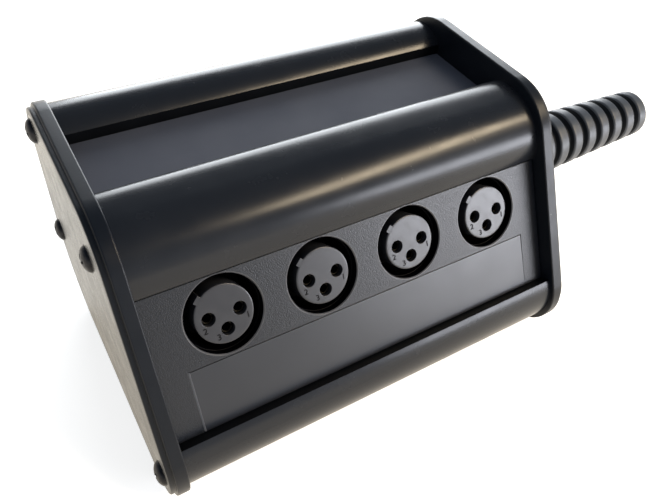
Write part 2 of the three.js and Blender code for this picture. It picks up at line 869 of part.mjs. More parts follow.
add(object, 'gland_body', gland_body_solid(), 'gland');
add(object, 'gland_lock_nut', lock_nut_solid(), 'gland');
add(object, 'gland_seal', seal_solid(), 'boot');
add(object, 'strain_relief_boot', boot_solid(), 'boot');

export default object;
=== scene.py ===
# Looks of the stage box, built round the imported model.
# Lengths are millimetres until a mesh is made. X runs along the box, Y to the rear and Z up.
from math import acos, atan2, cos, pi, radians, sin, sqrt, tan

import bmesh
import bpy
from mathutils import Matrix, Vector
from mathutils.geometry import delaunay_2d_cdt


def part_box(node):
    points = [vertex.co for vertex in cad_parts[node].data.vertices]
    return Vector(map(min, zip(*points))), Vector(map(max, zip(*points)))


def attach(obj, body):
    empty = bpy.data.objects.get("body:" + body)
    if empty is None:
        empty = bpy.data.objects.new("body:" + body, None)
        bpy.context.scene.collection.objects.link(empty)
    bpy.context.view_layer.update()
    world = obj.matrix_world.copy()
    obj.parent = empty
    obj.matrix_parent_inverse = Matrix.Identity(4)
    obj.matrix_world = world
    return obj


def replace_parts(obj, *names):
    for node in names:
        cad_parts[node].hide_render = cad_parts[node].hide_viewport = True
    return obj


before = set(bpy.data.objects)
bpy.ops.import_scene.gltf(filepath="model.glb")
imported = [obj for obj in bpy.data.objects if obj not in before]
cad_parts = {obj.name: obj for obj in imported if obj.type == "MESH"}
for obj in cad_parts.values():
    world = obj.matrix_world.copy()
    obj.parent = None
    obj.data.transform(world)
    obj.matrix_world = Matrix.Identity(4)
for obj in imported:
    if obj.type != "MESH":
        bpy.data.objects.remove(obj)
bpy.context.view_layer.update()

MM = 0.001
BODY = "box"
scene = bpy.context.scene

# Housing
panel_angle = radians(60)
front_top_radius = 19
rear_top_radius = 17.5
front_bottom_radius = 15
rear_bottom_radius = 25
plate_rim_thickness = 3.5
plate_step_inset = 1
plate_inner_round = 0.45
plate_rim_round = 0.55
plate_step_round = 0.3
plate_face_round = 0.5
plate_face_margin = 2
screw_seat_depth = 0.4

# Panels and rails
panel_recess = 4.8
top_panel_recess = 10.4
panel_thickness = 2.5
tongue_length = 3.5
tongue_rebate = 1.2
rail_skin = 2.2
rail_web = 1.6
front_top_rail_radius = 15
front_top_rail_inset = 3.5
front_top_rail_face_inset = 2.4
nose_rear_angle = radians(34.5)
nose_front_angle = radians(98)
nose_full_share = 0.9
rear_top_rail_radius = 10.2
rear_top_rail_inset = 3.8
rear_top_rail_face_inset = 1
bottom_rail_inset = 1.5
flush_lip_rise = 0.3
front_bottom_lip_rise = 3.1
rear_top_lip_rise = 3
ledge_setback = 1
lip_round = 0.22
screw_port_radius = 1.9
screw_port_wall = 1.5
screw_port_slit = 1.2
clearance = 0.3
screw_clearance = 0.25

# Sockets
mouth_radius = 10.4
mouth_chamfer = 0.28
mouth_round = 0.06
mouth_lip_gap = 0.7
label_depth = 0.35
label_end_margin = 7.35
label_mouth_drop = 0.7
label_round = 0.1
strip_gap = 0.16
strip_rise = 0.34
strip_round = 0.1
strip_slope = 0.4
socket_bore_radius = 10.2
shell_wall = 1.2
shell_flange_reach = 1
shell_flange_thickness = 2
shell_depth = 14.2
shell_floor = 1.5
shell_back_round = 0.4
shell_flange_round = 0.2
shell_mouth_round = 0.25
insert_radius = 7.8
insert_face_depth = 0.2
insert_round = 0.35
insert_flange_reach = 1.6
insert_flange_thickness = 1.2
insert_flange_round = 0.2
contact_spacing = 8.35
lower_contact_drop = 4
contact_mouth_radius = 1.8
contact_mouth_depth = 1.2
contact_mouth_round = 0.1
contact_radius = 1.65
contact_round = 0.15
contact_clearance = 0.25
contact_bore_radius = 1.2
contact_bore_depth = 10
contact_slit = 0.4
contact_slit_length = 5
contact_tail_radius = 0.55
contact_tail_length = 2.2
key_angle = radians(135)
key_reach = 0.75
key_width = 2.2
key_face_depth = 0.22
key_round = 0.05
key_length = 9.5
latch_width = 4
latch_thickness = 0.5
latch_front_depth = 4.2
latch_pivot_radius = 0.55
latch_side_gap = 0.4
board_thickness = 1.6
boss_radius = 2.6
boss_rise = 8
board_screw_length = 8
board_screw_shank_radius = 1
digit_height = 1.6
digit_cap_share = 0.7
digit_rise = 0.12
digit_sink = 0.1

# End plate screws
screw_shank_radius = 1.65
screw_length = 12
screw_head_radius = 3.4
screw_head_height = 2.2
screw_thread_pitch = 1.4
screw_thread_depth = 0.3
screw_tip_share = 0.4
screw_edge_share = 0.92
screw_edge_rise_share = 0.12
screw_dome_share = 0.8
screw_dome_start = radians(10)
screw_recess_share = 0.55
screw_recess_width_share = 0.12
screw_recess_floor_share = 0.35
screw_first_turn = 0.5
screw_next_turn = 1.3

# Cable outlet
gland_thread_radius = 8
gland_bore_radius = 5.9
gland_inner_length = 5
gland_hex_wall = 2.9
gland_hex_thickness = 5
gland_hex_round = 0.6
gland_nose_length = 12
boot_cable_radius = 5.6
boot_bore_round = 0.3
boot_wall = 2.7
boot_tip_wall = 2.85
boot_barb_rise = 0.35
boot_base_length = 5.3
boot_pitch = 7.2
boot_groove_count = 9
boot_groove_width = 3.3
boot_groove_depth = 1.9
boot_groove_round = 0.55
boot_shade_share = 0.5
boot_rib_round = 0.9
boot_tip_length = 5.9
boot_tip_round = 1.1
boot_seal_length = 5

# Steps of round shapes
corner_steps = 22
rail_steps = 150
mouth_steps = 72
hole_steps = 24
small_steps = 20
round_steps = 4
mouth_round_steps = 3
fine_round_steps = 5
wedge_steps = 6
bevel_steps = 3
dome_steps = 8
digit_curve_steps = 6

# Meshes: reach that joins points, size of a speck, and angles of sharp edges and of rounded ones
join_reach = 1e-3
speck_reach = 1e-4
sharp_angle = radians(34)
corner_angle = radians(30)

# Shares of X in a direction, for an edge along the box, a face across it, and the strip's edge with the
# painted highlight
along_share = 0.99
across_share = 0.5
strip_highlight_share = 0.3


def box_mm(node):
    low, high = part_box(node)
    return low / MM, high / MM


# Places that the model's parts give
plate_low, plate_high = box_mm("left_end_plate")
right_low, right_high = box_mm("right_end_plate")
box_height = plate_high.z
plate_thickness = plate_high.x - plate_low.x
left_inner_x = plate_high.x
right_inner_x = right_low.x
end_half = (right_inner_x - left_inner_x) / 2
middle_x = (right_inner_x + left_inner_x) / 2
box_rear_y = box_mm("rail_rear_top")[1].y + rear_top_rail_face_inset
box_front_y = -box_rear_y

# Lengths that follow
shell_radius = socket_bore_radius + shell_wall
flange_radius = shell_radius + shell_flange_reach
shell_front = -panel_thickness - clearance
shell_back = shell_front - shell_depth
insert_back = shell_back - clearance - insert_flange_thickness
board_front = insert_back - clearance
board_back = board_front - board_thickness
socket_xs = [sum(end.x for end in box_mm(f"socket_shell_{k}")) / 2 for k in range(1, 5)]


# Lines and curves in a plane

origin = Vector((0, 0))


def polar(centre, radius, angle):
    return centre + radius * Vector((cos(angle), sin(angle)))


def arc(centre, radius, start, sweep, steps):
    return [polar(centre, radius, start + sweep * k / steps) for k in range(steps + 1)]


def circle(radius, steps, centre=origin):
    return arc(centre, radius, 0, 2 * pi, steps)[:-1]


def rectangle(a, b):
    """The corners over a range in each of two directions."""
    return [(a[0], b[0]), (a[1], b[0]), (a[1], b[1]), (a[0], b[1])]


def full_arc(centre, radius, start, end, share, steps):
    """A curve that leaves a circle at one angle, stands fuller than it, and meets it at another."""
    reach = share * radius * tan((end - start) / 2)
    a = polar(centre, radius, start)
    b = polar(centre, radius, end)
    near_a = polar(a, reach, start + pi / 2)
    near_b = polar(b, reach, end - pi / 2)
    curve = []
    for step in range(steps + 1):
        t = step / steps
        u = 1 - t
        curve.append(u**3 * a + 3 * u * u * t * near_a + 3 * u * t * t * near_b + t**3 * b)
    return curve


def soften(corners, steps=round_steps):
    """A line through corners of (a, b) or (a, b, radius), where a radius rounds the corner off."""
    points = [Vector(corner[:2]) for corner in corners]
    line = []
    for k, corner in enumerate(corners):
        if len(corner) < 3:
            line.append(points[k])
            continue
        before = (points[k - 1] - points[k]).normalized()
        after = (points[(k + 1) % len(points)] - points[k]).normalized()
        reach = corner[2] / tan(before.angle(after) / 2)
        start = points[k] + reach * before
        end = points[k] + reach * after
        for step in range(steps + 1):
            t = step / steps
            line.append((1 - t) ** 2 * start + 2 * t * (1 - t) * points[k] + t * t * end)
    return line


def covers(curve, point):
    inside = False
    for a, b in zip(curve, curve[1:] + curve[:1]):
        if (a.y > point.y) != (b.y > point.y):
            if point.x < (b.x - a.x) * (point.y - a.y) / (b.y - a.y) + a.x:
                inside = not inside
    return inside


def triangles_in(curves, solid):
    """Points and triangles between the curves, where solid(point) holds."""
    points = []
    edges = []
    for curve in curves:
        first = len(points)
        points += curve
        edges += [(first + k, first + (k + 1) % len(curve)) for k in range(len(curve))]
    found, _, faces = delaunay_2d_cdt(points, edges, [], 0, speck_reach)[:3]
    middles = [sum((found[k] for k in face), origin) / len(face) for face in faces]
    return found, [face for face, middle in zip(faces, middles) if solid(middle)]


# Meshes from loops of points


class Shape:
    """Points and faces of one piece. A face is its points and the place of its finish."""

    def __init__(self):
        self.points = []
        self.faces = []

    def loop(self, points):
        first = len(self.points)
        self.points.extend(Vector(point) for point in points)
        return list(range(first, len(self.points)))

    def strips(self, loops, slot=0):
        rows = [self.loop(points) for points in loops]
        for a, b in zip(rows, rows[1:]):
            for k in range(len(a)):
                n = (k + 1) % len(a)
                self.faces.append(((a[k], a[n], b[n], b[k]), slot))

    def fill(self, loops, slot=0):
        """The flat area inside the first loop and outside the others, square to one axis."""
        spreads = [max(p[axis] for p in loops[0]) - min(p[axis] for p in loops[0]) for axis in range(3)]
        flat = spreads.index(min(spreads))
        height = loops[0][0][flat]
        curves = [[Vector(p[axis] for axis in range(3) if axis != flat) for p in points] for points in loops]

        def solid(point):
            return covers(curves[0], point) and not any(covers(curve, point) for curve in curves[1:])

        found, faces = triangles_in(curves, solid)
        index = self.loop([(*point[:flat], height, *point[flat:]) for point in found])
        for face in faces:
            self.faces.append((tuple(index[k] for k in face), slot))


def framed(ring, height):
    return [(*point, height) for point in ring]


def round_loops(profile, steps, centre=origin):
    """The loops of a profile of (radius, height) about an upright line."""
    return [framed(circle(radius, steps, centre), height) for radius, height in profile]


def turned(profile, steps):
    """A closed profile of (radius, height) turned about Z."""
    shape = Shape()
    shape.strips(round_loops([*profile, profile[0]], steps))
    return shape


def block(x, y, z):
    shape = Shape()
    loops = [framed(rectangle(x, y), height) for height in z]
    shape.strips(loops)
    for points in loops:
        shape.fill([points])
    return shape


def smooth(mesh):
    mesh.shade_smooth()
    mesh.set_sharp_from_angle(angle=sharp_angle)
    return mesh


def mesh_of(name, shape, finishes, bevel=None, bevel_width=0):
    """The shape as a clean mesh in metres. bevel(edge) picks edges to round."""
    mesh = bpy.data.meshes.new(name)
    mesh.from_pydata(shape.points, [], [face for face, _ in shape.faces])
    for polygon, (_, slot) in zip(mesh.polygons, shape.faces):
        polygon.material_index = slot
    form = bmesh.new()
    form.from_mesh(mesh)
    bmesh.ops.remove_doubles(form, verts=form.verts, dist=join_reach)
    bmesh.ops.dissolve_degenerate(form, edges=form.edges, dist=speck_reach)
    spare = [point for point in form.verts if not point.link_faces]
    bmesh.ops.delete(form, geom=spare, context="VERTS")
    bmesh.ops.recalc_face_normals(form, faces=form.faces)
    if bevel:
        edges = [edge for edge in form.edges if bevel(edge)]
        bmesh.ops.bevel(
            form, geom=edges, affect="EDGES", clamp_overlap=True,
            offset=bevel_width, segments=bevel_steps, profile=0.5,
        )
    bmesh.ops.scale(form, vec=(MM, MM, MM), verts=form.verts)
    form.to_mesh(mesh)
    form.free()
    for finish in finishes:
        mesh.materials.append(finish)
    return smooth(mesh)


def add_object(name, data):
    thing = bpy.data.objects.new(name, data)
    scene.collection.objects.link(thing)
    return thing


def final_mesh(thing):
    """The mesh that an object comes to. The object itself goes."""
    graph = bpy.context.evaluated_depsgraph_get()
    mesh = bpy.data.meshes.new_from_object(thing.evaluated_get(graph))
    bpy.data.objects.remove(thing)
    return mesh


def show(name, mesh, place=Matrix.Identity(4)):
    """A new piece that rides on the box. The place is in millimetres."""
    piece = add_object(name, mesh)
    place = place.copy()
    place.translation *= MM
    piece.matrix_world = place
    piece.modifiers.new("even_shading", "WEIGHTED_NORMAL").keep_sharp = True
    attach(piece, BODY)
    return piece


def stand_in(node, mesh, place=Matrix.Identity(4)):
    """A finer piece that stands for one node of the model."""
    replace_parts(show(f"{node}_fine", mesh, place), node)


def combine(name, mesh, tool_mesh, operation="DIFFERENCE"):
    """One mesh from two, by a boolean."""
    piece = add_object(name, mesh)
    tool = add_object(name + "_tool", tool_mesh)
    cut = piece.modifiers.new("cut", "BOOLEAN")
    cut.operation = operation
    cut.solver = "EXACT"
    cut.object = tool
    result = final_mesh(piece)
    bpy.data.objects.remove(tool)
    result.name = name
    return smooth(result)


# Shader nodes


def set_values(node, values):
    for name, value in values.items():
        node.inputs[name].default_value = value


def add_node(tree, kind, values=None, inputs=None):
    """A node with these values set, and these outputs of other nodes linked to its inputs."""
    node = tree.nodes.new(kind)
    set_values(node, values or {})
    for name, output in (inputs or {}).items():
        tree.links.new(output, node.inputs[name])
    return node


def maths(tree, operation, a, b):
    node = add_node(tree, "ShaderNodeMath", inputs={0: a, 1: b})
    node.operation = operation
    return node.outputs[0]


def mixed(tree, factor, a, b):
    """A colour between two, each a colour or another node's output."""
    node = add_node(tree, "ShaderNodeMix")
    node.data_type = "RGBA"
    tree.links.new(factor, node.inputs["Factor"])
    for name, value in (("A", a), ("B", b)):
        socket = next(s for s in node.inputs if s.name == name and s.type == "RGBA")
        if isinstance(value, tuple):
            socket.default_value = (*value, 1)
        else:
            tree.links.new(value, socket)
    return next(s for s in node.outputs if s.type == "RGBA")


# Finishes. Sizes, spacings and depths are in millimetres.

noise_span = (0.3, 0.7)
dust_edge = (0.03, 0.05)
dust_fade = 0.01
roughness_size_share = 0.6


class Finish:
    """A node material that is built up from noise in object space."""

    def __init__(self, name, metallic=0, specular=0.5):
        self.material = bpy.data.materials.new(name)
        self.material.use_nodes = True
        self.tree = self.material.node_tree
        self.shader = self.tree.nodes["Principled BSDF"]
        set_values(self.shader, {"Metallic": metallic, "Specular IOR Level": specular})
        self.place = add_node(self.tree, "ShaderNodeTexCoord").outputs["Object"]
        self.normal = None

    def noise(self, size, detail=2, stretch=(1, 1, 1)):
        """Noise whose cells are about that size."""
        mapping = add_node(self.tree, "ShaderNodeMapping", {"Scale": stretch}, {"Vector": self.place})
        values = {"Scale": 1 / (size * MM), "Detail": detail}
        inputs = {"Vector": mapping.outputs["Vector"]}
        return add_node(self.tree, "ShaderNodeTexNoise", values, inputs).outputs["Fac"]

    def cells(self, size, feature="F1"):
        node = add_node(self.tree, "ShaderNodeTexVoronoi", {"Scale": 1 / (size * MM)}, {"Vector": self.place})
        node.feature = feature
        return node

    def ranged(self, value, low, high, to_low=0, to_high=1):
        values = {"From Min": low, "From Max": high, "To Min": to_low, "To Max": to_high}
        return add_node(self.tree, "ShaderNodeMapRange", values, {"Value": value}).outputs["Result"]

    def patched(self, value, dark, light, span=noise_span):
        """A colour that goes from dark to light over a span of the value."""
        return mixed(self.tree, self.ranged(value, *span), dark, light)

    def colour(self, value):
        self.tree.links.new(value, self.shader.inputs["Base Color"])

    def rough(self, value, low, high):
        self.tree.links.new(self.ranged(value, *noise_span, low, high), self.shader.inputs["Roughness"])

    def bump(self, height, depth):
        """A bump of that depth, over any earlier one."""
        node = add_node(self.tree, "ShaderNodeBump", {"Distance": depth * MM}, {"Height": height})
        if self.normal:
            self.tree.links.new(self.normal, node.inputs["Normal"])
        self.normal = node.outputs["Normal"]
        self.tree.links.new(self.normal, self.shader.inputs["Normal"])

    def dusty(self, base, spacing, share, dust):
        """The base colour, with specks of dust in that share of the cells."""
        node = self.cells(spacing)
        near = self.ranged(node.outputs["Distance"], *dust_edge, 1, 0)
        chosen = self.ranged(node.outputs["Color"], 1 - share, 1 - share + dust_fade)
        self.colour(mixed(self.tree, maths(self.tree, "MULTIPLY", near, chosen), base, dust))


def mottled(name, dark, light, rough, size, grain, depth, specular=0.5):
    """A moulded or painted surface with soft patches and a fine grain."""
    made = Finish(name, specular=specular)
    base = made.patched(made.noise(size, detail=3), dark, light)
    made.dusty(base, spacing=3.4, share=0.1, dust=(0.2, 0.2, 0.2))
    made.rough(made.noise(size * roughness_size_share, detail=4), *rough)
    made.bump(made.noise(grain), depth)
    return made.material


def rail_finish():
    """Satin black with faint lines along the extrusion."""
    made = Finish("satin_rail", specular=0.3)
    base = made.patched(made.noise(16, detail=3), (0.0085, 0.0105, 0.015), (0.011, 0.013, 0.0175))
    made.dusty(base, spacing=3.8, share=0.14, dust=(0.28, 0.28, 0.3))
    made.rough(made.noise(7, detail=4), 0.23, 0.28)
    made.bump(made.noise(0.9, detail=3, stretch=(0.02, 1, 1)), depth=0.006)
    made.bump(made.noise(0.5), depth=0.004)
    return made.material


def leather_finish():
    """Moulded leather grain: rounded cells with fine valleys between them, and painted shade in the valleys.
    """
    made = Finish("leather_grain")
    cells = made.cells(0.28, "SMOOTH_F1").outputs["Distance"]
    # Lighter cell centres and darker valleys: painted shade in the grain
    base = made.patched(cells, (0.008, 0.0105, 0.017), (0.003, 0.0045, 0.008), span=(0.25, 0.75))
    made.dusty(base, spacing=3, share=0.08, dust=(0.2, 0.2, 0.2))
    made.rough(made.noise(0.45), 0.29, 0.47)
    made.bump(made.ranged(cells, 0, 1, 1, 0), depth=0.05)
    made.bump(made.noise(0.5), depth=0.006)
    return made.material


def rubber_finish():
    made = Finish("boot_rubber", specular=0.6)
    base = made.patched(made.noise(6, detail=4), (0.024, 0.031, 0.042), (0.033, 0.041, 0.055))
    made.dusty(base, spacing=2.6, share=0.12, dust=(0.25, 0.25, 0.26))
    made.rough(made.noise(3, detail=3), 0.4, 0.5)
    made.bump(made.noise(0.35, detail=3), depth=0.02)
    return made.material


def metal_finish(name, dark, light, rough):
    made = Finish(name, metallic=1)
    made.colour(made.patched(made.noise(1.4, detail=4), dark, light))
    made.rough(made.noise(0.8, detail=3), *rough)
    made.bump(made.noise(0.2, stretch=(1, 0.2, 1)), depth=0.004)
    return made.material


def board_finish():
    """Solder mask over a faint weave."""
    made = Finish("solder_mask")
    weave = made.noise(0.8, stretch=(1, 3, 1))
    made.colour(made.patched(weave, (0.012, 0.045, 0.022), (0.02, 0.07, 0.035), span=(0.35, 0.65)))
    made.rough(made.noise(4, detail=3), 0.3, 0.42)
    made.bump(weave, depth=0.01)
    return made.material


rail_black = rail_finish()
# Darker finish for the rails' inner faces and lip flanks: painted shade in the slots and under the lips
rail_painted_shade = mottled(
    "rail_inside_painted_shade", (0.002, 0.0025, 0.004), (0.003, 0.004, 0.006),
    rough=(0.46, 0.54), size=8, grain=0.5, depth=0.006, specular=0.12,
)
sheet_black = mottled(
    "sheet_panel", (0.053, 0.061, 0.086), (0.063, 0.071, 0.096),
    rough=(0.66, 0.74), size=14, grain=0.3, depth=0.02, specular=0.12,
)
leather = leather_finish()
label_black = mottled(
    "label_field", (0.008, 0.0105, 0.017), (0.011, 0.0135, 0.021),
    rough=(0.34, 0.4), size=18, grain=0.22, depth=0.006, specular=0.62,
)
# Lighter finish for the mouths' chamfer rings: a painted highlight where the chamfer catches the light
mouth_edge_painted_highlight = mottled(
    "mouth_chamfer_painted_highlight", (0.06, 0.062, 0.07), (0.08, 0.082, 0.09),
    rough=(0.27, 0.33), size=4, grain=0.3, depth=0.003,
)
# Lighter finish for the strip's left flank: a painted highlight where its edge catches the light
strip_edge_painted_highlight = mottled(
    "strip_painted_highlight_edge", (0.16, 0.17, 0.2), (0.2, 0.21, 0.24),
    rough=(0.4, 0.5), size=4, grain=0.3, depth=0.003,
)
plate_black = mottled(
    "end_plate", (0.0035, 0.0055, 0.0095), (0.0055, 0.0075, 0.012),
    rough=(0.29, 0.39), size=10, grain=0.6, depth=0.012, specular=0.25,
)
plate_face = mottled(
    "end_plate_face", (0.009, 0.0085, 0.008), (0.012, 0.0112, 0.0105),
    rough=(0.23, 0.31), size=10, grain=0.6, depth=0.01,
)
shell_black = mottled(
    "shell", (0.001, 0.001, 0.0018), (0.0015, 0.0015, 0.0025),
    rough=(0.34, 0.42), size=6, grain=0.4, depth=0.004, specular=0.05,
)
insert_grey = mottled(
    "insert", (0.02, 0.0215, 0.0275), (0.025, 0.0265, 0.033),
    rough=(0.3, 0.38), size=5, grain=0.2, depth=0.006, specular=0.55,
)
# Darker finish for the raised digits, which are moulded in the insert's plastic: painted shade
digit_painted_shade = mottled(
    "digit", (0.006, 0.006, 0.007), (0.009, 0.009, 0.01),
    rough=(0.46, 0.54), size=1, grain=0.2, depth=0.004, specular=0.1,
)
gland_black = mottled(
    "gland", (0.009, 0.01, 0.012), (0.014, 0.015, 0.017),
    rough=(0.4, 0.5), size=5, grain=0.4, depth=0.02,
)
rubber = rubber_finish()
# Darker finish for the boot's groove floors: painted shade in the grooves
groove_painted_shade = mottled(
    "boot_groove", (0.004, 0.006, 0.009), (0.007, 0.009, 0.013),
    rough=(0.5, 0.6), size=5, grain=0.35, depth=0.015, specular=0.2,
)
contact_metal = metal_finish("contact_plating", (0.012, 0.011, 0.009), (0.022, 0.02, 0.016), (0.32, 0.5))
latch_metal = metal_finish("latch_steel", (0.02, 0.02, 0.022), (0.035, 0.035, 0.038), (0.27, 0.45))
screw_metal = metal_finish("black_screw", (0.02, 0.02, 0.022), (0.04, 0.04, 0.043), (0.3, 0.48))
board_green = board_finish()


# Section of the housing, as (Y, Z)

face_normal = Vector((-sin(panel_angle), cos(panel_angle)))
front_bottom_corner = Vector((box_front_y + front_bottom_radius, front_bottom_radius))
face_distance = front_bottom_corner.dot(face_normal) + front_bottom_radius


def front_top_centre(radius, top_inset, face_inset):
    z = box_height - top_inset - radius
    reach = face_distance - face_inset - radius
    return Vector(((z * face_normal.y - reach) / -face_normal.x, z))


plate_corners = [
    (front_bottom_corner, front_bottom_radius),
    (Vector((box_rear_y - rear_bottom_radius, rear_bottom_radius)), rear_bottom_radius),
    (Vector((box_rear_y - rear_top_radius, box_height - rear_top_radius)), rear_top_radius),
    (front_top_centre(front_top_radius, 0, 0), front_top_radius),
]


def edge_normal(a, b):
    run = b[0] - a[0]
    return atan2(run.y, run.x) - acos((a[1] - b[1]) / run.length)


def plate_outline(inset):
    points = []
    for k, corner in enumerate(plate_corners):
        start = edge_normal(plate_corners[k - 1], corner)
        turn = edge_normal(corner, plate_corners[(k + 1) % len(plate_corners)]) - start
        points += arc(corner[0], corner[1] - inset, start, turn % (2 * pi), corner_steps)
    return points


class Wall:
    """A panel's line in the section: d runs along it and m is its outward normal."""

    def __init__(self, d, m, offset):
        self.d = Vector(d)
        self.m = Vector(m)
        self.offset = offset

    def point(self, s, n):
        return self.d * s + self.m * (self.offset + n)

    def block(self, s, n):
        return [self.point(*corner) for corner in rectangle(s, n)]

    def lip(self, rail, rise, side):
        """Where a rail's round stands that rise over the wall."""
        depth = rail.centre.dot(self.m) - self.offset - rise
        return rail.centre.dot(self.d) + side * sqrt(rail.radius**2 - depth**2)


class Rail:
    def __init__(self, centre, radius, before, after, rises, port_angle, port_share):
        self.centre = centre
        self.radius = radius
        self.ends = [(before, rises[0], 1), (after, rises[1], -1)]
        self.out = polar(origin, 1, radians(port_angle))
        self.port = centre + port_share * radius * self.out
        self.outer = circle(radius, rail_steps, centre)

    def make_fuller(self, start, end, share):
        rest = arc(self.centre, self.radius, end, start + 2 * pi - end, rail_steps)
        self.outer = full_arc(self.centre, self.radius, start, end, share, corner_steps * 2) + rest[1:-1]


connector_wall = Wall(polar(origin, 1, panel_angle), face_normal, face_distance - panel_recess)
top_wall = Wall((1, 0), (0, 1), box_height - top_panel_recess)
rear_wall = Wall((0, -1), (1, 0), box_rear_y - panel_recess)
base_wall = Wall((-1, 0), (0, -1), -panel_recess)
rails = {
    "front_top": Rail(
        front_top_centre(front_top_rail_radius, front_top_rail_inset, front_top_rail_face_inset),
        front_top_rail_radius, connector_wall, top_wall,
        (flush_lip_rise, flush_lip_rise), port_angle=60, port_share=0.1,
    ),
    "rear_top": Rail(
        Vector((
            box_rear_y - rear_top_rail_face_inset - rear_top_rail_radius,
            box_height - rear_top_rail_inset - rear_top_rail_radius,
        )),
        rear_top_rail_radius, top_wall, rear_wall,
        (rear_top_lip_rise, flush_lip_rise), port_angle=55, port_share=0.38,
    ),
    "rear_bottom": Rail(
        plate_corners[1][0], rear_bottom_radius - bottom_rail_inset, rear_wall, base_wall,
        (flush_lip_rise, flush_lip_rise), port_angle=4, port_share=0.75,
    ),
    "front_bottom": Rail(
        front_bottom_corner, front_bottom_radius - bottom_rail_inset, base_wall, connector_wall,
        (flush_lip_rise, front_bottom_lip_rise), port_angle=206, port_share=0.6,
    ),
}
rails["front_top"].make_fuller(nose_rear_angle, nose_front_angle, nose_full_share)


def rail_section(rail):
    """Points and triangles of a rail's section: a skin, two lips and ledges, and a slit screw port."""
    far = 3 * rail.radius
    slot_floor = -panel_thickness - clearance
    slot_roof = clearance - tongue_rebate
    outer = rail.outer
    inner = circle(rail.radius - rail_skin, rail_steps, rail.centre)
    added = []
    cuts = []
    angles = []
    for wall, rise, into in rail.ends:
        s = wall.lip(rail, rise, -into)
        corner = wall.point(s, rise) - rail.centre
        angles.append(atan2(corner.y, corner.x))
        back = s + into * (tongue_length + rail_web)
        added.append(wall.block((s, back), (slot_roof, rail.radius)))
        ledge = (s + into * ledge_setback, back)
        added.append(wall.block(ledge, (slot_floor - rail_web, slot_roof + clearance)))
        cuts.append(wall.block((s - into * far, s + into * tongue_length), (slot_floor, slot_roof)))
    sweep = (angles[0] - angles[1]) % (2 * pi)
    wedge = [rail.centre, *arc(rail.centre, far, angles[0], -sweep, wedge_steps)]
    port_web = Wall((-rail.out.y, rail.out.x), rail.out, 0)
    s = rail.port.dot(port_web.d)
    n = rail.port.dot(rail.out)
    slit_reach = screw_port_radius + screw_port_wall + clearance
    added.append(circle(screw_port_radius + screw_port_wall, hole_steps, rail.port))
    added.append(port_web.block((s - rail_web / 2, s + rail_web / 2), (n, n + rail.radius)))
    cuts.append(circle(screw_port_radius, hole_steps, rail.port))
    cuts.append(port_web.block((s - screw_port_slit / 2, s + screw_port_slit / 2), (n - slit_reach, n)))

    def solid(point):
        if not covers(outer, point) or any(covers(cut, point) for cut in cuts):
            return False
        skin = covers(wedge, point) and not covers(inner, point)
        return skin or any(covers(curve, point) for curve in added)

    return triangles_in([outer, inner, wedge, *added, *cuts], solid)


def drawn_out(points, faces):
    """A section of triangles drawn out from plate to plate, with its two ends closed."""
    shape = Shape()
    near = shape.loop([(left_inner_x, *point) for point in points])
    far = shape.loop([(right_inner_x, *point) for point in points])
    edges = set()
    for face in faces:
        edges |= {(face[k - 1], face[k]) for k in range(len(face))}
        shape.faces.append((tuple(near[k] for k in reversed(face)), 0))
        shape.faces.append((tuple(far[k] for k in face), 0))
    for a, b in edges:
        if (b, a) not in edges:
            shape.faces.append(((near[a], near[b], far[b], far[a]), 0))
    return shape


def rail_pieces():
    for name, rail in rails.items():
        def outer_corner(edge, rail=rail):
            along = abs((edge.verts[0].co - edge.verts[1].co).normalized().x) > along_share
            if not along or len(edge.link_faces) != 2 or edge.calc_face_angle() < corner_angle:
                return False
            point = Vector(edge.verts[0].co.yz)
            return (point - rail.centre).length > rail.radius - clearance

        shape = drawn_out(*rail_section(rail))
        mesh = mesh_of(f"rail_{name}_fine", shape, [rail_black, rail_painted_shade], outer_corner, lip_round)
        # Faces inside the rail's round, other than its ends, take the painted shade
        for polygon in mesh.polygons:
            reach = (Vector(polygon.center.yz) / MM - rail.centre).length
            if reach < rail.radius - clearance and abs(polygon.normal.x) < across_share:
                polygon.material_index = 1
        stand_in(f"rail_{name}", mesh)


# End plates


def plate_pieces():
    profile = soften([
        (0, plate_face_margin),
        (0, 0, plate_inner_round),
        (plate_rim_thickness, 0, plate_rim_round),
        (plate_rim_thickness, plate_step_inset, plate_step_round),
        (plate_thickness, plate_step_inset, plate_face_round),
        (plate_thickness, plate_step_inset + plate_face_margin),
    ], fine_round_steps)
    seat = screw_head_radius + screw_clearance
    hole = screw_shank_radius + screw_clearance
    screw_hole = [
        (plate_thickness, seat),
        (plate_thickness - screw_seat_depth, seat),
        (plate_thickness - screw_seat_depth, hole),
        (0, hole),
    ]
    gland_hole = [(plate_thickness, gland_thread_radius + clearance), (0, gland_thread_radius + clearance)]
    for name, side, inner_x in (("left_end_plate", -1, left_inner_x), ("right_end_plate", 1, right_inner_x)):
        shape = Shape()

        def raised(points, depth):
            return [(inner_x + side * depth, *point) for point in points]

        loops = [raised(plate_outline(inset), depth) for depth, inset in profile]
        shape.strips(loops)
        outer = [loops[-1]]
        inner = [loops[0]]
        holes = [(rail.port, screw_hole) for rail in rails.values()]
        if side > 0:
            holes.append((Vector((0, box_height / 2)), gland_hole))
        for centre, steps in holes:
            rings = [raised(circle(radius, 2 * hole_steps, centre), depth) for depth, radius in steps]
            shape.strips(rings)
            outer.append(rings[0])
            inner.append(rings[-1])
        shape.fill(outer, 1)
        shape.fill(inner)
        stand_in(name, mesh_of(f"{name}_fine", shape, [plate_black, plate_face]))


# Connector panel, in its own frame: x along the box, y up the slope, z out of the face

upper_lip = connector_wall.lip(rails["front_top"], flush_lip_rise, -1)
socket_line = upper_lip - mouth_radius - mouth_lip_gap
panel_origin = connector_wall.point(socket_line, 0)


def panel_place(x):
    return Matrix.Translation((x, *panel_origin)) @ Matrix.Rotation(panel_angle, 4, "X")


panel_frame = panel_place(middle_x)


